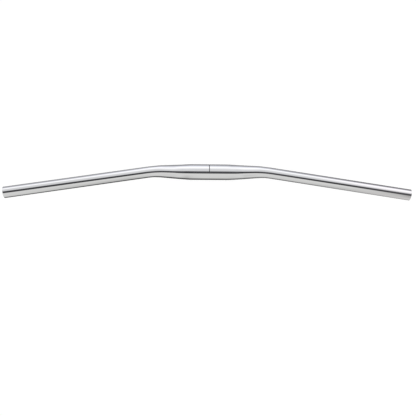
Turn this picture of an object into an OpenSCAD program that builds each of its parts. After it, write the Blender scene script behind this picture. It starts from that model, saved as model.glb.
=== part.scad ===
// Riser handlebar for a bicycle: one butted tube with a wide clamp seat in the middle, a taper and two
// bends on each side, and two straight grips that sweep up and back to open, square-cut ends.
// The origin is the centre of the clamp seat. X runs along the bar, Y points forward and Z points up.

/* [Width and sweep] */
// Overall width, from one end to the other along X
bar_w = 800; // [680:5:840]
// Angle at which the rise leaves the clamp seat, in degrees
rise_angle = 22; // [8:1:34]
// Straight run between the inner and the outer bend
rise_run = 20; // [4:1:60]
// Upsweep of the grips, in degrees
upsweep = 5; // [0:0.5:7]
// Backsweep of the grips, in degrees
backsweep = 8.8; // [4:0.1:16]

/* [Bends] */
// Distance from the centre to the start of the inner bend
bend_start = 45; // [42:1:70]
// Centreline radius of the inner bend
inner_bend_r = 80; // [50:5:120]
// Centreline radius of the outer bend
outer_bend_r = 100; // [60:5:150]

/* [Clamp seat] */
// Outer diameter of the clamp seat
clamp_d = 31.8; // [31.8, 35]
// Width of the seat, over which the tube has its full diameter
seat_w = 70; // [50:2:80]
// Wall of the tube under the clamp
clamp_wall = 2.8; // [2:0.1:4]

/* [Taper] */
// Length of the taper along the tube, from the edge of the seat to the grip's diameter
taper_run = 87; // [60:1:140]
// Length over which the taper eases in, and out again
taper_blend = 10; // [2:1:30]

/* [Grips] */
// Outer diameter of the grips
grip_d = 22.2; // [22.2:0.1:24]
// Wall of the tube along the grips
grip_wall = 1.9; // [1.4:0.1:2.6]
// Radius that rounds both edges of each open end
end_ease = 0.4; // [0.2:0.1:0.6]

/* [Centre mark] */
// Width of the engraved line at the middle of the seat
mark_w = 1.4; // [0.4:0.1:2]
// Depth of the engraved line
mark_depth = 0.1; // [0.1:0.05:0.5]
// Angle at which the line starts, from straight forward, upwards positive, in degrees
mark_from = -30; // [-60:1:20]
// Angle at which the line ends, just past the top of the tube
mark_to = 100; // [40:1:120]

/* [Hidden] */
$fn = 96;

// Points round each ring of the tapered bends, and the longest step from ring to ring
ring_sides = 32;
ring_step = 5;
// How far the tapered bends reach into the straight tubes, and how deep they stay inside those walls
lap = 0.5;
bury = 0.04;
// Margin by which a cutting shape passes the surface that it cuts
past = 1;

clamp_r = clamp_d / 2;
grip_r = grip_d / 2;
clamp_bore_r = clamp_r - clamp_wall;
grip_bore_r = grip_r - grip_wall;

function unit(v) = v / norm(v);
function arc_length(radius, angle) = radius * PI * angle / 180;
function arc_angle(radius, length) = length / radius * 180 / PI;

// Direction of each straight stretch of the centreline on the right-hand side
seat_dir = [1, 0, 0];
rise_dir = [cos(rise_angle), 0, sin(rise_angle)];
grip_dir = unit([1, -tan(backsweep), tan(upsweep)]);

// Point at a given angle round a bend that starts at a point in one direction and leaves in another
function bend_point(from, dir_in, dir_out, radius, angle) =
    let (inward = unit(dir_out - (dir_out * dir_in) * dir_in))
    from + radius * (sin(angle) * dir_in + (1 - cos(angle)) * inward);
function bend_dir(dir_in, dir_out, angle) =
    let (inward = unit(dir_out - (dir_out * dir_in) * dir_in))
    cos(angle) * dir_in + sin(angle) * inward;

outer_bend_angle = acos(rise_dir * grip_dir);

// Distance along the centreline from the middle of the bar to the end of each stretch
inner_bend_end = bend_start + arc_length(inner_bend_r, rise_angle);
rise_end = inner_bend_end + rise_run;
outer_bend_end = rise_end + arc_length(outer_bend_r, outer_bend_angle);

// Points where the stretches meet
inner_from = bend_start * seat_dir;
inner_to = bend_point(inner_from, seat_dir, rise_dir, inner_bend_r, rise_angle);
outer_from = inner_to + rise_run * rise_dir;
outer_to = bend_point(outer_from, rise_dir, grip_dir, outer_bend_r, outer_bend_angle);

// Point and direction of the centreline at a distance along it from the middle of the bar
function centre_point(s) =
    s < bend_start ? s * seat_dir
    : s < inner_bend_end
        ? bend_point(inner_from, seat_dir, rise_dir, inner_bend_r, arc_angle(inner_bend_r, s - bend_start))
    : s < rise_end ? inner_to + (s - inner_bend_end) * rise_dir
    : s < outer_bend_end
        ? bend_point(outer_from, rise_dir, grip_dir, outer_bend_r, arc_angle(outer_bend_r, s - rise_end))
    : outer_to + (s - outer_bend_end) * grip_dir;
function centre_dir(s) =
    s < bend_start ? seat_dir
    : s < inner_bend_end ? bend_dir(seat_dir, rise_dir, arc_angle(inner_bend_r, s - bend_start))
    : s < rise_end ? rise_dir
    : s < outer_bend_end ? bend_dir(rise_dir, grip_dir, arc_angle(outer_bend_r, s - rise_end))
    : grip_dir;

// The taper starts at the edge of the seat. The grip's straight tube starts where bend and taper are over.
taper_start = seat_w / 2;
taper_end = taper_start + taper_run;
grip_start = max(outer_bend_end, taper_end);

// Share of the taper that is done at a distance along the tube: a straight slope with rounded ends
function taper_share(s) =
    let (
        done = min(max(s - taper_start, 0), taper_run),
        slope_run = taper_run - taper_blend
    )
    done < taper_blend ? pow(done, 2) / (2 * taper_blend * slope_run)
    : done > slope_run ? 1 - pow(taper_run - done, 2) / (2 * taper_blend * slope_run)
    : (done - taper_blend / 2) / slope_run;
function outer_r(s) = clamp_r + (grip_r - clamp_r) * taper_share(s);
function bore_r(s) = clamp_bore_r + (grip_bore_r - clamp_bore_r) * taper_share(s);

// Length of the straight grip tube, so that the rims of the two ends are bar_w apart
end_tilt = acos(grip_dir[0]);
rim_reach = (grip_r - end_ease) * sin(end_tilt) + end_ease * (1 - cos(end_tilt));
grip_from = centre_point(grip_start);
grip_len = (bar_w / 2 - rim_reach - grip_from[0]) / grip_dir[0];

// Rings of points round the centreline. The first point of each ring is level with it, on the front side.
function ring(s, radius) =
    let (
        dir = centre_dir(s),
        forward = unit(cross([0, 0, 1], dir)),
        up = cross(dir, forward)
    )
    [for (i = [0:ring_sides - 1])
        let (angle = 360 * i / ring_sides)
        centre_point(s) + radius * (cos(angle) * forward + sin(angle) * up)];

// The middle of the bar: a straight tube with the engraved centre mark
module clamp_seat() {
    rotate([0, 90, 0])
        difference() {
            cylinder(h = seat_w, r = clamp_r, center = true);
            cylinder(h = seat_w + 2 * past, r = clamp_bore_r, center = true);
            centre_mark();
        }
}

// Cutter for the centre mark, round the same axis as the tube
module centre_mark() {
    rotate_extrude(angle = mark_to - mark_from, start = 90 + mark_from)
        translate([clamp_r - mark_depth, -mark_w / 2])
            square([mark_depth + past, mark_w]);
}

// One tapered, twice-bent length of tube, as a skin of rings swept along the centreline
module tapered_bends() {
    first = taper_start - lap;
    last = grip_start + lap;
    steps = ceil((last - first) / ring_step);
    stations = [for (k = [0:steps]) first + (last - first) * k / steps];
    skin = [for (s = stations) each ring(s, outer_r(s) - bury)];
    // The bore's rings are drawn round the true bore, so that their flats lie inside the wall too
    bore = [for (s = stations) each ring(s, (bore_r(s) + bury) / cos(180 / ring_sides))];
    bore_base = len(skin);
    ring_quads = [for (k = [0:steps - 1], i = [0:ring_sides - 1])
        let (
            a = k * ring_sides + i,
            b = k * ring_sides + (i + 1) % ring_sides
        )
        [a, a + ring_sides, b + ring_sides, b]];
    bore_quads = [for (q = ring_quads)
        [for (j = [3:-1:0]) q[j] + bore_base]];
    start_cap = [for (i = [0:ring_sides - 1])
        let (next = (i + 1) % ring_sides)
        [i, next, next + bore_base, i + bore_base]];
    end_cap = [for (q = start_cap)
        [for (j = [3:-1:0]) q[j] + steps * ring_sides]];
    polyhedron(
        points = concat(skin, bore),
        faces = concat(ring_quads, bore_quads, start_cap, end_cap),
        convexity = 6
    );
}

// Half of the grip tube's wall in section, with both edges of the open end rounded
module grip_section() {
    rounded_from = grip_len - end_ease;
    translate([grip_bore_r, 0])
        square([grip_wall, rounded_from]);
    translate([grip_bore_r + end_ease, 0])
        square([grip_wall - 2 * end_ease, grip_len]);
    for (x = [grip_bore_r + end_ease, grip_r - end_ease])
        translate([x, rounded_from])
            circle(end_ease);
}

// One straight grip with its open end
module grip() {
    polar = acos(grip_dir[2]);
    azimuth = atan2(grip_dir[1], grip_dir[0]);
    translate(grip_from)
        rotate([0, polar, azimuth])
            rotate_extrude()
                grip_section();
}

module right_side() {
    tapered_bends();
    grip();
}

module handlebar() {
    color([0.80, 0.81, 0.83])
        union() {
            clamp_seat();
            right_side();
            mirror([1, 0, 0])
                right_side();
        }
}

handlebar();
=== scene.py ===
"""A mirror-polished riser handlebar on a pale floor, lit softly by a tent that the camera looks into."""
import math

import bpy
import numpy as np
from bpy.props import FloatProperty, FloatVectorProperty, IntProperty, PointerProperty
from mathutils import Matrix, Vector


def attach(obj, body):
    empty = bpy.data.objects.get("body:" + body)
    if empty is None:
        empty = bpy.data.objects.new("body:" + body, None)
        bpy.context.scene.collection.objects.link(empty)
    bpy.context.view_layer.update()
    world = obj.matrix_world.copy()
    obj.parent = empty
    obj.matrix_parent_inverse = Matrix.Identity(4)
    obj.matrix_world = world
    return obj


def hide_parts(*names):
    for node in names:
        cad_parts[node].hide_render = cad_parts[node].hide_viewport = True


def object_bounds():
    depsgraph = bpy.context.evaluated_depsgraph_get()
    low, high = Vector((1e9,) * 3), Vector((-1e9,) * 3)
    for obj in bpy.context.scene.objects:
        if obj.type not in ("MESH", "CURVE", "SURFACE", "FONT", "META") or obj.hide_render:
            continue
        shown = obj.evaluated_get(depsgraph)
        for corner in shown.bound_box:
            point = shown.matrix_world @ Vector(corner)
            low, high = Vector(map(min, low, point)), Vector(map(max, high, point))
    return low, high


bl_info = {
    "name": "Riser Handlebar",
    "version": (1, 0, 0),
    "blender": (4, 5, 0),
    "location": "View3D > Sidebar > Handlebar",
    "description": "Sweeps a butted, tapered and bent handlebar and sets it in a plain studio",
    "category": "Object",
}

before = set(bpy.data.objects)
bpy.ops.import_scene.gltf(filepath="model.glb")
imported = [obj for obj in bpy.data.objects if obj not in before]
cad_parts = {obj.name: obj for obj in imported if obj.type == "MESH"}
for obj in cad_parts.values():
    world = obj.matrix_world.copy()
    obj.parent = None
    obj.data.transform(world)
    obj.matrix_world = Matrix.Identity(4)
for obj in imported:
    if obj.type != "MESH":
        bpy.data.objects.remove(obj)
CAD_LOW, CAD_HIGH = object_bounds()
MM = 0.001
# The picture is square. Places in it are in pixels at this width.
IMAGE_WIDTH = 416
IMAGE_CENTRE = IMAGE_WIDTH / 2


def length(name, description, default):
    return FloatProperty(name=name, description=description, default=default, unit="LENGTH", precision=5)


def angle(name, description, degrees):
    return FloatProperty(name=name, description=description, default=math.radians(degrees), subtype="ANGLE")


def share(name, description, default):
    return FloatProperty(name=name, description=description, default=default, min=0, max=1, subtype="FACTOR")


def colour(name, description, default):
    return FloatVectorProperty(name=name, description=description, default=default, min=0, max=1, size=3,
                               subtype="COLOR")


class BarSizes(bpy.types.PropertyGroup):
    """The driving sizes of the bar."""
    width: length("Width", "From one end to the other along X", CAD_HIGH.x - CAD_LOW.x)
    rise_angle: angle("Rise angle", "Angle at which the rise leaves the clamp seat", 22)
    rise_run: length("Rise run", "Straight run between the two bends", 20 * MM)
    upsweep: angle("Upsweep", "Slope of the grips", 5)
    backsweep: angle("Backsweep", "Angle of the grips towards the rider", 8.8)
    bend_start: length("Bend start", "From the centre to the inner bend", 45 * MM)
    inner_bend: length("Inner bend", "Centreline radius of the inner bend", 80 * MM)
    outer_bend: length("Outer bend", "Centreline radius of the outer bend", 100 * MM)
    clamp_radius: length("Clamp radius", "Outer radius of the clamp seat", 15.9 * MM)
    clamp_wall: length("Clamp wall", "Wall under the clamp", 2.8 * MM)
    seat_width: length("Seat width", "Stretch with the full diameter", 70 * MM)
    taper_run: length("Taper run", "Length of the taper along the tube", 87 * MM)
    taper_blend: length("Taper blend", "Length over which the taper eases in and out", 10 * MM)
    grip_radius: length("Grip radius", "Outer radius of the grips", 11.1 * MM)
    grip_wall: length("Grip wall", "Wall along the grips", 1.9 * MM)
    end_ease: length("End ease", "Radius of the rounded edges at the open ends", 0.4 * MM)
    mark_width: length("Mark width", "Width of the engraved centre mark", 1.4 * MM)
    mark_depth: length("Mark depth", "Depth of the engraved centre mark", 0.1 * MM)
    mark_from: angle("Mark from", "Start of the mark, from straight forward", -30)
    mark_to: angle("Mark to", "End of the mark, just past the top of the tube", 100)
    ring_points: IntProperty(name="Ring points", description="Points round each ring of the skin",
                             default=192, min=24)


class BarFinish(bpy.types.PropertyGroup):
    """The colours and polish of the metal."""
    polish: colour("Polish", "Colour of the polished skin", (0.905, 0.906, 0.912))
    polish_roughness: share("Polish roughness", "Roughness of the polished skin", 0.06)
    bore: colour("Bore", "Colour of the drawn metal inside the tube", (0.72, 0.72, 0.73))
    rim: colour("Rim", "Colour of the turned faces at the open ends", (0.80, 0.80, 0.81))
    mark: colour("Mark", "Colour of the engraved mark's floor", (0.045, 0.045, 0.05))


class StudioSettings(bpy.types.PropertyGroup):
    """The camera, the floor and the light."""
    camera_distance: length("Camera distance", "From the camera to the plane of the clamp's centre", 1.0321)
    camera_elevation: angle("Camera elevation", "Elevation of the lens's axis", 90.869)
    camera_yaw: angle("Camera yaw", "Turn towards the left end", 2.199)
    camera_roll: angle("Camera roll", "Roll of the picture", 0.312)
    focal_pixels: FloatProperty(name="Focal length in pixels", description="At an image width of 416",
                                default=503.92)
    clamp_pixel: FloatVectorProperty(name="Clamp pixel", size=2, default=(209.196, 172.176),
                                     description="Where the clamp's centre lies in the picture")
    floor_drop: length("Floor drop", "From the clamp's centre down to the floor", 0.30)
    floor_size: length("Floor size", "Side of the floor", 8.0)
    floor_colour: colour("Floor", "Colour of the floor", (0.90, 0.90, 0.90))
    floor_lift: share("Floor lift", "Glow that lifts what is seen of the floor to white", 0.21)
    world_level: share("World level", "Level of the plain light from all round", 0.88)
    lamp_power: FloatProperty(name="Lamp power", description="Power of the soft lamp overhead",
                              default=2.0, unit="POWER")


def bar_sizes():
    return bpy.context.scene.bar_sizes


def finish():
    return bpy.context.scene.bar_finish


def studio():
    return bpy.context.scene.bar_studio


# Centreline

def bend_point(start, dir_in, dir_out, radius, turned):
    """Point on a bend, after a given angle."""
    inward = (dir_out - dir_out.dot(dir_in) * dir_in).normalized()
    return start + radius * (math.sin(turned) * dir_in + (1 - math.cos(turned)) * inward)


class Centreline:
    """The right-hand half of the bar's centreline, by distance along it from the middle."""

    def __init__(self, sizes):
        self.seat = Vector((1, 0, 0))
        self.rise = Vector((math.cos(sizes.rise_angle), 0, math.sin(sizes.rise_angle)))
        self.grip = Vector((1, -math.tan(sizes.backsweep), math.tan(sizes.upsweep))).normalized()
        self.inner_radius, self.outer_radius = sizes.inner_bend, sizes.outer_bend
        outer_angle = self.rise.angle(self.grip)
        self.inner_start = sizes.bend_start
        self.inner_end = self.inner_start + sizes.inner_bend * sizes.rise_angle
        self.rise_end = self.inner_end + sizes.rise_run
        self.outer_end = self.rise_end + sizes.outer_bend * outer_angle
        self.inner_from = sizes.bend_start * self.seat
        self.inner_to = bend_point(self.inner_from, self.seat, self.rise, sizes.inner_bend, sizes.rise_angle)
        self.outer_from = self.inner_to + sizes.rise_run * self.rise
        self.outer_to = bend_point(self.outer_from, self.rise, self.grip, sizes.outer_bend, outer_angle)
        tilt = math.acos(self.grip.x)
        flat_reach = (sizes.grip_radius - sizes.end_ease) * math.sin(tilt)
        rim_reach = flat_reach + sizes.end_ease * (1 - math.cos(tilt))
        self.end = self.outer_end + (sizes.width / 2 - rim_reach - self.outer_to.x) / self.grip.x

    def point(self, along):
        """Point at a distance along the centreline."""
        if along < self.inner_start:
            return along * self.seat
        if along < self.inner_end:
            turned = (along - self.inner_start) / self.inner_radius
            return bend_point(self.inner_from, self.seat, self.rise, self.inner_radius, turned)
        if along < self.rise_end:
            return self.inner_to + (along - self.inner_end) * self.rise
        if along < self.outer_end:
            turned = (along - self.rise_end) / self.outer_radius
            return bend_point(self.outer_from, self.rise, self.grip, self.outer_radius, turned)
        return self.outer_to + (along - self.outer_end) * self.grip


def evenly(start, stop, step):
    """Distances from start up to but without stop, about a step apart."""
    count = max(1, round((stop - start) / step))
    return [start + (stop - start) * k / count for k in range(count)]


# How far past the open end the last ring stands, in which both sides of the wall meet
CLOSING_STEP = 0.005 * MM
# Points of the two sides that lie nearer to each other than this are welded
WELD_DISTANCE = CLOSING_STEP / 5


def half_stations(sizes, line):
    """Where each ring of the skin stands on the right half, along the centreline and over the wall's surface.
    Over the surface, the distance goes on round the edge of the open end and up the rim."""
    # The mark's side stands between the first two rings, and the third keeps its shading narrow
    lip = 0.02 * MM
    seat_step, bend_step, grip_step, end_steps = 6 * MM, 2 * MM, 20 * MM, 6
    mark_edge = sizes.mark_width / 2
    bends_end = max(line.outer_end, sizes.seat_width / 2 + sizes.taper_run)
    round_start = line.end - sizes.end_ease
    straight = [mark_edge, mark_edge + lip, mark_edge + 4 * lip]
    straight += evenly(seat_step, sizes.seat_width / 2, seat_step)
    straight += evenly(sizes.seat_width / 2, bends_end, bend_step)
    straight += evenly(bends_end, round_start, grip_step)
    stations = [(along, along) for along in straight]
    for k in range(end_steps + 1):
        turned = math.pi / 2 * k / end_steps
        along = round_start + sizes.end_ease * math.sin(turned)
        stations.append((along, round_start + sizes.end_ease * turned))
    rim = sizes.grip_wall / 2 - sizes.end_ease
    return stations + [(line.end + CLOSING_STEP, stations[-1][1] + rim)]


def centreline_mesh(sizes):
    """A chain of edges along the centreline. Each point knows its distances from the middle."""
    line = Centreline(sizes)
    right = half_stations(sizes, line)
    stations = [(-along, -over) for along, over in reversed(right)] + right
    points = []
    for along, over in stations:
        place = line.point(abs(along))
        points.append((math.copysign(place.x, along), place.y, place.z))
    mesh = bpy.data.meshes.new("bar_centreline")
    mesh.from_pydata(points, [(k, k + 1) for k in range(len(points) - 1)], [])
    for k, name in enumerate(("along", "over")):
        values = [station[k] for station in stations]
        mesh.attributes.new(name, "FLOAT", "POINT").data.foreach_set("value", values)
    return mesh, line.end


# Node helpers

def put(links, source, target):
    """Links a socket to the target, or gives the target a plain value."""
    if isinstance(source, bpy.types.NodeSocket):
        links.new(source, target)
    else:
        target.default_value = source


def add_math(nodes, links, operation, *operands):
    """A maths node on sockets and plain values."""
    node = nodes.new("ShaderNodeMath")
    node.operation = operation
    for k, value in enumerate(operands):
        put(links, value, node.inputs[k])
    return node.outputs[0]


class Tree:
    """A Geometry Nodes tree under construction, with short forms for what is used often."""

    def __init__(self, name):
        self.group = bpy.data.node_groups.new(name, "GeometryNodeTree")
        self.nodes, self.links = self.group.nodes, self.group.links

    def socket(self, name, kind, output=False):
        """A named input or output of the whole tree."""
        side = "OUTPUT" if output else "INPUT"
        self.group.interface.new_socket(name=name, in_out=side, socket_type=kind)

    def add(self, kind, values=None, **settings):
        """A node with its settings, and with sockets or plain values on its inputs."""
        node = self.nodes.new(kind)
        for key, value in settings.items():
            setattr(node, key, value)
        for key, value in (values or {}).items():
            put(self.links, value, node.inputs[key])
        return node

    def math(self, operation, *operands):
        """A maths node on sockets and plain values."""
        return add_math(self.nodes, self.links, operation, *operands)

    def clamp(self, value, low, high):
        """A value held between two others."""
        node = self.add("ShaderNodeClamp", {"Value": value, "Min": low, "Max": high})
        return node.outputs[0]

    def store(self, geometry, name, value, domain):
        """Geometry with a number stored on it under a name."""
        values = {"Geometry": geometry, "Name": name, "Value": value}
        node = self.add("GeometryNodeStoreNamedAttribute", values, data_type="FLOAT", domain=domain)
        return node.outputs[0]

    def stored(self, name):
        """The number that is stored under a name."""
        node = self.add("GeometryNodeInputNamedAttribute", {"Name": name}, data_type="FLOAT")
        return node.outputs[0]


# The sweep's inputs that are sizes of the bar, each named like its property in BarSizes
SIZE_INPUTS = (
    "Clamp radius", "Clamp wall", "Grip radius", "Grip wall", "Seat width", "Taper run", "Taper blend",
    "End ease", "Mark width", "Mark depth", "Mark from", "Mark to",
)


def taper_share(tree, given, distance):
    """How much of the taper is done at a distance from the middle: a straight slope with rounded ends."""
    done = tree.math("SUBTRACT", distance, tree.math("MULTIPLY", given["Seat width"], 0.5))
    run, blend = given["Taper run"], given["Taper blend"]
    slope = tree.math("SUBTRACT", run, blend)
    double = tree.math("MULTIPLY", tree.math("MULTIPLY", blend, slope), 2.0)
    first = tree.clamp(done, 0.0, blend)
    ease_in = tree.math("DIVIDE", tree.math("MULTIPLY", first, first), double)
    past_first = tree.math("SUBTRACT", done, blend)
    middle = tree.math("DIVIDE", tree.clamp(past_first, 0.0, tree.math("SUBTRACT", slope, blend)), slope)
    left = tree.math("SUBTRACT", blend, tree.clamp(tree.math("SUBTRACT", done, slope), 0.0, blend))
    squares = tree.math("SUBTRACT", tree.math("MULTIPLY", blend, blend), tree.math("MULTIPLY", left, left))
    ease_out = tree.math("DIVIDE", squares, double)
    return tree.math("ADD", tree.math("ADD", ease_in, middle), ease_out)


def end_drop(tree, given, distance):
    """How far the rounded edge at an open end has left the wall's surface."""
    ease = given["End ease"]
    start = tree.math("SUBTRACT", given["Half length"], ease)
    into = tree.clamp(tree.math("DIVIDE", tree.math("SUBTRACT", distance, start), ease), 0.0, 1.0)
    flat = tree.math("SQRT", tree.math("SUBTRACT", 1.0, tree.math("MULTIPLY", into, into)))
    return tree.math("MULTIPLY", ease, tree.math("SUBTRACT", 1.0, flat))


def wall_radius(tree, given, clamp_radius, grip_radius, drop, distance):
    """Radius of one side of the wall, which closes to the middle of the wall at the very end."""
    difference = tree.math("SUBTRACT", grip_radius, clamp_radius)
    change = tree.math("MULTIPLY", difference, taper_share(tree, given, distance))
    radius = tree.math("ADD", tree.math("ADD", clamp_radius, change), drop)
    middle = tree.math("SUBTRACT", given["Grip radius"], tree.math("MULTIPLY", given["Grip wall"], 0.5))
    closing = tree.math("GREATER_THAN", distance, tree.math("ADD", given["Half length"], CLOSING_STEP / 2))
    return tree.add("GeometryNodeSwitch", {"Switch": closing, "False": radius, "True": middle},
                 input_type="FLOAT").outputs[0]


def swept_skin(tree, curve, profile, radius, is_bore):
    """One side of the wall, swept along the centreline."""
    skin = tree.add("GeometryNodeCurveToMesh", {"Curve": curve, "Profile Curve": profile, "Scale": radius})
    return tree.store(skin.outputs[0], "bore", is_bore, "FACE")


# How far beside the mark its field still holds, which takes in the rings at its very edges
MARK_MARGIN = 0.015 * MM


def in_mark(tree, given):
    """Field that is true inside the centre mark's width and arc, and the way out from the seat's axis."""
    place = tree.add("GeometryNodeInputPosition").outputs[0]
    parts = tree.add("ShaderNodeSeparateXYZ", {"Vector": place})
    x, y, z = parts.outputs
    half_width = tree.math("ADD", tree.math("MULTIPLY", given["Mark width"], 0.5), MARK_MARGIN)
    narrow = tree.math("LESS_THAN", tree.math("ABSOLUTE", x), half_width)
    turned = tree.math("ARCTAN2", z, y)
    after = tree.math("GREATER_THAN", turned, given["Mark from"])
    before = tree.math("LESS_THAN", turned, given["Mark to"])
    inside = tree.math("MULTIPLY", narrow, tree.math("MULTIPLY", after, before))
    outward = tree.add("ShaderNodeCombineXYZ", {"Y": y, "Z": z}).outputs[0]
    outward = tree.add("ShaderNodeVectorMath", {0: outward}, operation="NORMALIZE").outputs[0]
    return inside, outward


def bar_tree():
    """Sweeps both sides of the wall along the centreline, engraves the mark and welds the rims."""
    tree = Tree("bar_sweep")
    tree.socket("Centreline", "NodeSocketGeometry")
    tree.socket("Ring points", "NodeSocketInt")
    for name in ("Half length", *SIZE_INPUTS):
        tree.socket(name, "NodeSocketFloat")
    for name in ("Polish", "Bore finish", "Rim finish", "Mark finish"):
        tree.socket(name, "NodeSocketMaterial")
    tree.socket("Bar", "NodeSocketGeometry", output=True)
    given = tree.add("NodeGroupInput").outputs
    distance = tree.math("ABSOLUTE", tree.stored("along"))
    curve = tree.add("GeometryNodeMeshToCurve", {"Mesh": given["Centreline"]}).outputs[0]
    curve = tree.add("GeometryNodeSetCurveNormal", {"Curve": curve}, mode="Z_UP").outputs[0]
    circle = tree.add("GeometryNodeCurvePrimitiveCircle", {"Resolution": given["Ring points"], "Radius": 1.0})
    around = tree.add("GeometryNodeSplineParameter").outputs["Factor"]
    profile = tree.store(circle.outputs[0], "around", around, "POINT")
    drop = end_drop(tree, given, distance)
    inward = tree.math("MULTIPLY", drop, -1.0)
    outer = wall_radius(tree, given, given["Clamp radius"], given["Grip radius"], inward, distance)
    clamp_bore = tree.math("SUBTRACT", given["Clamp radius"], given["Clamp wall"])
    grip_bore = tree.math("SUBTRACT", given["Grip radius"], given["Grip wall"])
    inner = wall_radius(tree, given, clamp_bore, grip_bore, drop, distance)
    skin = swept_skin(tree, curve, profile, outer, 0.0)
    inside, outward = in_mark(tree, given)
    depth = tree.math("MULTIPLY", given["Mark depth"], -1.0)
    sunk = tree.add("ShaderNodeVectorMath", {0: outward, "Scale": depth}, operation="SCALE").outputs[0]
    engraved = tree.add("GeometryNodeSetPosition", {"Geometry": skin, "Selection": inside, "Offset": sunk})
    bore = swept_skin(tree, curve, profile, inner, 1.0)
    bore = tree.add("GeometryNodeFlipFaces", {"Mesh": bore}).outputs[0]
    joined = tree.add("GeometryNodeJoinGeometry")
    for part in (bore, engraved.outputs[0]):
        tree.links.new(part, joined.inputs[0])
    values = {"Geometry": joined.outputs[0], "Distance": WELD_DISTANCE}
    welded = tree.add("GeometryNodeMergeByDistance", values)
    smooth = tree.add("GeometryNodeSetShadeSmooth", {"Geometry": welded.outputs[0]})
    real = tree.add("GeometryNodeRealizeInstances", {"Geometry": smooth.outputs[0]}).outputs[0]
    is_bore = tree.stored("bore")
    is_outer = tree.math("LESS_THAN", is_bore, 0.5)
    is_marked = tree.math("MULTIPLY", inside, is_outer)
    is_rim = tree.math("GREATER_THAN", distance, tree.math("ADD", given["Half length"], CLOSING_STEP / 4))
    done = tree.add("GeometryNodeSetMaterial", {"Geometry": real, "Material": given["Polish"]}).outputs[0]
    for selected, name in ((is_bore, "Bore finish"), (is_rim, "Rim finish"), (is_marked, "Mark finish")):
        values = {"Geometry": done, "Selection": selected, "Material": given[name]}
        done = tree.add("GeometryNodeSetMaterial", values).outputs[0]
    out = tree.add("NodeGroupOutput")
    tree.links.new(done, out.inputs[0])
    return tree.group


def set_inputs(modifier, values):
    """Sets a modifier's inputs by their sockets' identifiers."""
    sockets = modifier.node_group.interface.items_tree
    names = {socket.name: socket.identifier for socket in sockets if socket.in_out == "INPUT"}
    for name, value in values.items():
        modifier[names[name]] = value


def as_plain_object(obj, name):
    """The evaluated object as one plain mesh object, without its modifier."""
    evaluated = obj.evaluated_get(bpy.context.evaluated_depsgraph_get())
    mesh = bpy.data.meshes.new_from_object(evaluated)
    mesh.name = name
    # The sweep starts without a material, which leaves an empty first slot
    mesh.materials.pop(index=0)
    bpy.data.objects.remove(obj)
    plain = bpy.data.objects.new(name, mesh)
    bpy.context.scene.collection.objects.link(plain)
    return plain


def unwrap_tube(mesh, girth):
    """A UV map in metres: over the wall's surface, and round it, without a smear where the turn closes."""
    def values(name):
        data = np.zeros(len(mesh.vertices), np.float32)
        mesh.attributes[name].data.foreach_get("value", data)
        return data
    over, around = values("over"), values("around")
    corner_vertex = np.zeros(len(mesh.loops), np.int32)
    mesh.loops.foreach_get("vertex_index", corner_vertex)
    starts = np.zeros(len(mesh.polygons), np.int32)
    mesh.polygons.foreach_get("loop_start", starts)
    turn = around[corner_vertex]
    highest = np.maximum.reduceat(turn, starts)
    lowest = np.minimum.reduceat(turn, starts)
    face = np.repeat(np.arange(len(starts)), np.diff(np.append(starts, len(turn))))
    # A face that closes the turn has corners on both sides of the half turn, far apart
    closing = (highest - lowest)[face] > 0.5
    turn = np.where(closing & (turn < 0.5), turn + 1, turn)
    uv = np.stack([over[corner_vertex], turn * girth], 1).astype(np.float32)
    layer = mesh.uv_layers.new(name="UVMap")
    layer.data.foreach_set("uv", uv.ravel())
    for name in ("along", "over", "around", "bore"):
        mesh.attributes.remove(mesh.attributes[name])


# Materials

# How often each pattern in the metal repeats in a metre along the tube, and in a metre round it
CLOUDS = (18.0, 60.0)
WHEEL_LINES = (6000.0, 60.0)
HAIRLINES = (45.0, 4000.0)
DRAWING_LINES = (40.0, 5000.0)
TURNING_RINGS = (9000.0, 40.0)
ENGRAVING_GRAIN = (12000.0, 12000.0)
# The stretch of the noise's values that is spread over a whole range
NOISE_LOW, NOISE_HIGH = 0.3, 0.7


def new_material(name, base, metallic=0.0):
    """A material with its node tree and its shader, which has a base colour."""
    material = bpy.data.materials.new(name)
    material.use_nodes = True
    nodes, links = material.node_tree.nodes, material.node_tree.links
    shader = nodes["Principled BSDF"]
    shader.inputs["Base Color"].default_value = (*base, 1)
    shader.inputs["Metallic"].default_value = metallic
    return material, nodes, links, shader


def stretched_noise(nodes, links, scale, detail=3.0):
    """Noise on the tube's own map, stretched by a scale for along and for round the tube."""
    place = nodes.new("ShaderNodeUVMap")
    place.uv_map = "UVMap"
    mapping = nodes.new("ShaderNodeMapping")
    mapping.inputs["Scale"].default_value = (*scale, 1.0)
    noise = nodes.new("ShaderNodeTexNoise")
    noise.inputs["Scale"].default_value = 1.0
    noise.inputs["Detail"].default_value = detail
    links.new(place.outputs[0], mapping.inputs["Vector"])
    links.new(mapping.outputs[0], noise.inputs["Vector"])
    return noise.outputs["Fac"]


def ranged(nodes, links, noise, low, high):
    """Noise that is spread over a range of values."""
    spread = nodes.new("ShaderNodeMapRange")
    spread.inputs["From Min"].default_value = NOISE_LOW
    spread.inputs["From Max"].default_value = NOISE_HIGH
    spread.inputs["To Min"].default_value = low
    spread.inputs["To Max"].default_value = high
    links.new(noise, spread.inputs["Value"])
    return spread.outputs[0]


def bumped(nodes, links, height, strength, distance, under=None):
    """Normal of a fine relief, on top of the one under it."""
    bump = nodes.new("ShaderNodeBump")
    bump.inputs["Strength"].default_value = strength
    bump.inputs["Distance"].default_value = distance
    links.new(height, bump.inputs["Height"])
    if under is not None:
        links.new(under, bump.inputs["Normal"])
    return bump.outputs[0]


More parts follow.
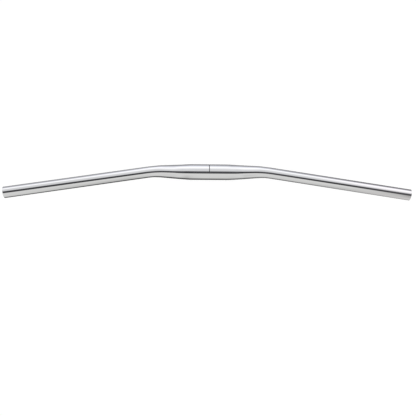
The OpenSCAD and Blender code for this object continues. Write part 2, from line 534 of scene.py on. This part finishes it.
def polished_skin():
    """Mirror-polished aluminium, slightly uneven, with wheel lines round the tube and hairlines along it."""
    metal = finish()
    material, nodes, links, shader = new_material("mirror_polished_aluminium", metal.polish, metallic=1.0)
    cloudy = stretched_noise(nodes, links, CLOUDS)
    even = metal.polish_roughness
    roughness = ranged(nodes, links, cloudy, low=even * 0.75, high=even * 1.3)
    links.new(roughness, shader.inputs["Roughness"])
    wheel_lines = stretched_noise(nodes, links, WHEEL_LINES, detail=2.0)
    hairlines = stretched_noise(nodes, links, HAIRLINES, detail=4.0)
    relief = bumped(nodes, links, wheel_lines, strength=0.4, distance=0.02 * MM)
    relief = bumped(nodes, links, hairlines, strength=0.35, distance=0.02 * MM, under=relief)
    links.new(relief, shader.inputs["Normal"])
    return material


def dull_finish(name, base, metallic, scale, roughness, strength, distance):
    """A dull surface with one fine pattern, both in its roughness and as a relief."""
    material, nodes, links, shader = new_material(name, base, metallic)
    pattern = stretched_noise(nodes, links, scale)
    links.new(ranged(nodes, links, pattern, *roughness), shader.inputs["Roughness"])
    links.new(bumped(nodes, links, pattern, strength, distance), shader.inputs["Normal"])
    return material


def drawn_bore():
    """The dull inside of the tube, with the fine lines that drawing leaves along it."""
    return dull_finish("drawn_aluminium_bore", finish().bore, metallic=1.0, scale=DRAWING_LINES,
                       roughness=(0.55, 0.75), strength=0.25, distance=0.05 * MM)


def turned_rim():
    """The cut face of an open end, with the fine rings that the turning tool leaves."""
    return dull_finish("turned_aluminium_rim", finish().rim, metallic=1.0, scale=TURNING_RINGS,
                       roughness=(0.20, 0.36), strength=0.3, distance=0.02 * MM)


def engraved_mark():
    """The darkened floor of the centre mark, with a grain from the engraving."""
    return dull_finish("engraved_mark_floor", finish().mark, metallic=0.0, scale=ENGRAVING_GRAIN,
                       roughness=(0.55, 0.8), strength=0.4, distance=0.03 * MM)


# Studio

def seen_directly(nodes, links):
    """1 for what the camera sees, by itself or in polished metal or glass, and 0 for what only gets light."""
    path = nodes.new("ShaderNodeLightPath").outputs
    mirrored = add_math(nodes, links, "MAXIMUM", path["Is Camera Ray"], path["Is Glossy Ray"])
    return add_math(nodes, links, "MAXIMUM", mirrored, path["Is Transmission Ray"])


def stage_piece(name, points, faces, material):
    """A piece of the studio, which isn't part of the bar."""
    mesh = bpy.data.meshes.new(name)
    mesh.from_pydata(points, [], faces)
    mesh.materials.append(material)
    obj = bpy.data.objects.new(name, mesh)
    bpy.context.scene.collection.objects.link(obj)
    return obj


def pale_floor():
    """Pale floor. What is seen of it directly is lifted to white, and its shadow stays."""
    settings = studio()
    material, nodes, links, shader = new_material("pale_floor", settings.floor_colour)
    shader.inputs["Roughness"].default_value = 1.0
    shader.inputs["Specular IOR Level"].default_value = 0.0
    shader.inputs["Emission Color"].default_value = (1, 1, 1, 1)
    lift = add_math(nodes, links, "MULTIPLY", seen_directly(nodes, links), settings.floor_lift)
    links.new(lift, shader.inputs["Emission Strength"])
    return material


def make_floor():
    """A square floor under the bar."""
    settings = studio()
    half, z = settings.floor_size / 2, -settings.floor_drop
    corners = [(-half, -half, z), (half, -half, z), (half, half, z), (-half, half, z)]
    stage_piece("floor", corners, [(0, 1, 2, 3)], pale_floor())


# The light tent is a tube round the bar and along it, flatter below the bar than above it
TENT_RADIUS = 0.5
TENT_DEPTH = 0.22
TENT_HALF_LENGTH = 1.0
TENT_SIDES = 96
# Places along the bar at which the tent's tones are set, from the left end to past the right end
TENT_PLACES = (-0.4, -0.1, 0.0, 0.3, 0.5)
# The brightest tone that the tent's cloths can have
TENT_PEAK = 1.25
# Tints of the tent's cloths, and what makes all of them a little pinker at the last place
CLOTHS = {
    "plain": (1.0, 1.0, 1.0),
    "warm": (1.004, 1.004, 0.990),
    "cool": (0.994, 0.998, 1.020),
    "blue": (0.982, 0.991, 1.060),
}
LAST_PLACE_TINT = (1.016, 0.987, 0.996)


def all_along(tone):
    """The same tone at all of the tent's places."""
    return (tone,) * len(TENT_PLACES)


# The tent's panels by their edges: degrees from straight up, positive towards the front, then cloth and tones
UNDERNEATH = ("plain", (0.35, 0.20, 0.05, 0.00, 0.25))
TENT_EDGES = (
    (-180, *UNDERNEATH),
    # The flag low down behind, and the rear panel
    (-125, "warm", (0.00, 0.00, 0.10, 0.30, 0.45)),
    (-95, "warm", (0.65, 0.50, 0.70, 0.55, 0.65)),
    (-27.5, "warm", (0.70, 0.75, 0.70, 0.75, 0.40)),
    # The slot for the camera
    (-20, "blue", all_along(0.05)),
    (2.5, "blue", (0.05, 0.05, 0.10, 0.05, 0.10)),
    # The front panel
    (17.5, "cool", all_along(0.75)),
    (32.5, "cool", (0.65, 0.70, 0.65, 0.75, 1.00)),
    # The bright strip, and the flag low down in front
    (70, "cool", all_along(1.20)),
    (82.5, "blue", (0.65, 1.05, 1.05, 0.55, 0.50)),
    (120, "blue", (0.30, 0.25, 0.35, 0.30, 0.15)),
    (180, *UNDERNEATH),
)


def tone_ramp(nodes, place):
    """The tones round the bar at one of the tent's places."""
    ramp = nodes.new("ShaderNodeValToRGB")
    stops = ramp.color_ramp.elements
    stops.remove(stops[-1])
    last = LAST_PLACE_TINT if place == len(TENT_PLACES) - 1 else CLOTHS["plain"]
    for k, (degrees, cloth, tones) in enumerate(TENT_EDGES):
        turned = degrees / 360 + 0.5
        stop = stops[0] if k == 0 else stops.new(turned)
        stop.position = turned
        tone = tones[place] / TENT_PEAK
        stop.color = (*(tone * tint * more for tint, more in zip(CLOTHS[cloth], last)), 1)
    return ramp


def blended(nodes, links, value, start, end, first, second):
    """One colour up to a start, another from an end on, and a blend of the two between."""
    across = nodes.new("ShaderNodeMapRange")
    across.inputs["From Min"].default_value = start
    across.inputs["From Max"].default_value = end
    links.new(value, across.inputs["Value"])
    mix = nodes.new("ShaderNodeMix")
    mix.data_type = "RGBA"
    sockets = {socket.identifier: socket for socket in mix.inputs}
    links.new(across.outputs[0], sockets["Factor_Float"])
    links.new(first, sockets["A_Color"])
    links.new(second, sockets["B_Color"])
    return next(socket for socket in mix.outputs if socket.identifier == "Result_Color")


def tent_cloth():
    """The tent's glow: soft panels, a dark slot for the camera, and darker flags low down on both sides."""
    material = bpy.data.materials.new("tent_cloth")
    material.use_nodes = True
    material.cycles.emission_sampling = "NONE"
    nodes, links = material.node_tree.nodes, material.node_tree.links
    nodes.clear()
    parts = nodes.new("ShaderNodeSeparateXYZ")
    links.new(nodes.new("ShaderNodeTexCoord").outputs["Object"], parts.inputs[0])
    x, y, z = parts.outputs
    turn = add_math(nodes, links, "ARCTAN2", y, z)
    turned = add_math(nodes, links, "ADD", add_math(nodes, links, "DIVIDE", turn, math.tau), 0.5)
    ramps = [tone_ramp(nodes, place) for place in range(len(TENT_PLACES))]
    for ramp in ramps:
        links.new(turned, ramp.inputs[0])
    tone = ramps[0].outputs[0]
    for place, ramp in enumerate(ramps[1:]):
        start, end = TENT_PLACES[place:place + 2]
        tone = blended(nodes, links, x, start, end, tone, ramp.outputs[0])
    glow = nodes.new("ShaderNodeEmission")
    glow.inputs["Strength"].default_value = TENT_PEAK
    links.new(tone, glow.inputs["Color"])
    out = nodes.new("ShaderNodeOutputMaterial")
    links.new(glow.outputs[0], out.inputs["Surface"])
    return material


def make_tent():
    """A closed light tent round the bar, which only the polished metal sees."""
    half, sides = TENT_HALF_LENGTH, TENT_SIDES
    points, faces = [], []
    for k in range(sides):
        turn = math.tau * k / sides
        y, z = TENT_RADIUS * math.sin(turn), math.cos(turn)
        z *= TENT_RADIUS if z > 0 else TENT_DEPTH
        points += [(-half, y, z), (half, y, z)]
        edge, after = 2 * k, 2 * ((k + 1) % sides)
        faces.append((edge, edge + 1, after + 1, after))
    faces += [tuple(range(0, 2 * sides, 2)), tuple(range(2 * sides - 1, 0, -2))]
    tent = stage_piece("light_tent", points, faces, tent_cloth())
    tent.visible_camera = tent.visible_diffuse = tent.visible_transmission = False
    tent.visible_shadow = tent.visible_volume_scatter = False


def make_world():
    """Plain soft light from all round, and a white background."""
    world = bpy.data.worlds.new("soft_world")
    bpy.context.scene.world = world
    world.use_nodes = True
    nodes, links = world.node_tree.nodes, world.node_tree.links
    nodes.clear()
    level = studio().world_level
    seen = seen_directly(nodes, links)
    strength = nodes.new("ShaderNodeMapRange")
    strength.inputs["To Min"].default_value = level
    strength.inputs["To Max"].default_value = 1.0
    links.new(seen, strength.inputs["Value"])
    background = nodes.new("ShaderNodeBackground")
    background.inputs["Color"].default_value = (1, 1, 1, 1)
    links.new(strength.outputs[0], background.inputs["Strength"])
    out = nodes.new("ShaderNodeOutputWorld")
    links.new(background.outputs[0], out.inputs["Surface"])


# The soft lamp's size and place. It points at the clamp's centre.
LAMP_SIZE = (2.0, 1.2)
LAMP_PLACE = (0.0, 0.3, 1.9)


def make_lamp():
    """The soft lamp overhead, which polished metal doesn't see."""
    lamp = bpy.data.lights.new("overhead_lamp", "AREA")
    lamp.shape = "RECTANGLE"
    lamp.size, lamp.size_y = LAMP_SIZE
    lamp.energy = studio().lamp_power
    obj = bpy.data.objects.new("overhead_lamp", lamp)
    obj.location = LAMP_PLACE
    obj.rotation_euler = (-Vector(LAMP_PLACE)).to_track_quat("-Z", "Y").to_euler()
    obj.visible_glossy = False
    bpy.context.scene.collection.objects.link(obj)


def make_camera():
    """The camera stands over the bar, a little to the left and behind, as the picture shows the bar."""
    settings = studio()
    elevation, yaw, roll = settings.camera_elevation, settings.camera_yaw, settings.camera_roll
    back = Vector((0, -math.cos(elevation), math.sin(elevation)))
    right = Vector((1, 0, 0))
    level = Matrix((right, back.cross(right), back))
    turn = Matrix(((math.cos(yaw), 0, math.sin(yaw)), (0, 1, 0), (-math.sin(yaw), 0, math.cos(yaw))))
    tilt = Matrix(((math.cos(roll), math.sin(roll), 0), (-math.sin(roll), math.cos(roll), 0), (0, 0, 1)))
    to_camera = tilt @ turn @ level
    scale = settings.camera_distance / settings.focal_pixels
    across, down = settings.clamp_pixel
    offset = Vector(((across - IMAGE_CENTRE) * scale, (IMAGE_CENTRE - down) * scale,
                     -settings.camera_distance))
    data = bpy.data.cameras.new("camera")
    data.lens = data.sensor_width * settings.focal_pixels / IMAGE_WIDTH
    camera = bpy.data.objects.new("camera", data)
    to_world = to_camera.transposed()
    camera.matrix_world = Matrix.Translation(-(to_world @ offset)) @ to_world.to_4x4()
    bpy.context.scene.collection.objects.link(camera)
    bpy.context.scene.camera = camera


# Faces that meet at more than this angle are shaded with a sharp edge between them
SHARP_ANGLE = math.radians(35)


class OBJECT_OT_riser_bar(bpy.types.Operator):
    """Sweep the handlebar and give it its finish"""
    bl_idname = "object.riser_bar"
    bl_label = "Make Handlebar"

    def execute(self, context):
        sizes = bar_sizes()
        mesh, half_length = centreline_mesh(sizes)
        obj = bpy.data.objects.new("bar_centreline", mesh)
        context.scene.collection.objects.link(obj)
        modifier = obj.modifiers.new("sweep", "NODES")
        modifier.node_group = bar_tree()
        set_inputs(modifier, {name: getattr(sizes, name.lower().replace(" ", "_")) for name in SIZE_INPUTS})
        set_inputs(modifier, {
            "Half length": half_length, "Ring points": sizes.ring_points, "Polish": polished_skin(),
            "Bore finish": drawn_bore(), "Rim finish": turned_rim(), "Mark finish": engraved_mark(),
        })
        bar = as_plain_object(obj, "polished_bar")
        unwrap_tube(bar.data, math.tau * sizes.grip_radius)
        bar.data.set_sharp_from_angle(angle=SHARP_ANGLE)
        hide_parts("handlebar")
        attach(bar, "root")
        return {"FINISHED"}


class OBJECT_OT_bar_studio(bpy.types.Operator):
    """Set the floor, the light tent, the lamp and the camera"""
    bl_idname = "object.bar_studio"
    bl_label = "Make Studio"

    def execute(self, context):
        context.scene.view_settings.view_transform = "Standard"
        make_camera()
        make_world()
        make_floor()
        make_tent()
        make_lamp()
        return {"FINISHED"}


class VIEW3D_PT_riser_bar(bpy.types.Panel):
    """Sizes, finish and studio of the handlebar"""
    bl_label = "Riser Handlebar"
    bl_space_type = "VIEW_3D"
    bl_region_type = "UI"
    bl_category = "Handlebar"

    def draw(self, context):
        scene, layout = context.scene, self.layout
        for operator in OPERATORS:
            layout.operator(operator.bl_idname)
        for group in (scene.bar_sizes, scene.bar_finish, scene.bar_studio):
            box = layout.box()
            for name in group.__annotations__:
                box.prop(group, name)


OPERATORS = (OBJECT_OT_riser_bar, OBJECT_OT_bar_studio)
GROUPS = {"bar_sizes": BarSizes, "bar_finish": BarFinish, "bar_studio": StudioSettings}
CLASSES = (*GROUPS.values(), *OPERATORS, VIEW3D_PT_riser_bar)


def register():
    for cls in CLASSES:
        bpy.utils.register_class(cls)
    for name, group in GROUPS.items():
        setattr(bpy.types.Scene, name, PointerProperty(type=group))


def unregister():
    for name in GROUPS:
        delattr(bpy.types.Scene, name)
    for cls in reversed(CLASSES):
        bpy.utils.unregister_class(cls)


def main():
    register()
    bpy.ops.object.riser_bar()
    bpy.ops.object.bar_studio()


if __name__ == "__main__":
    main()
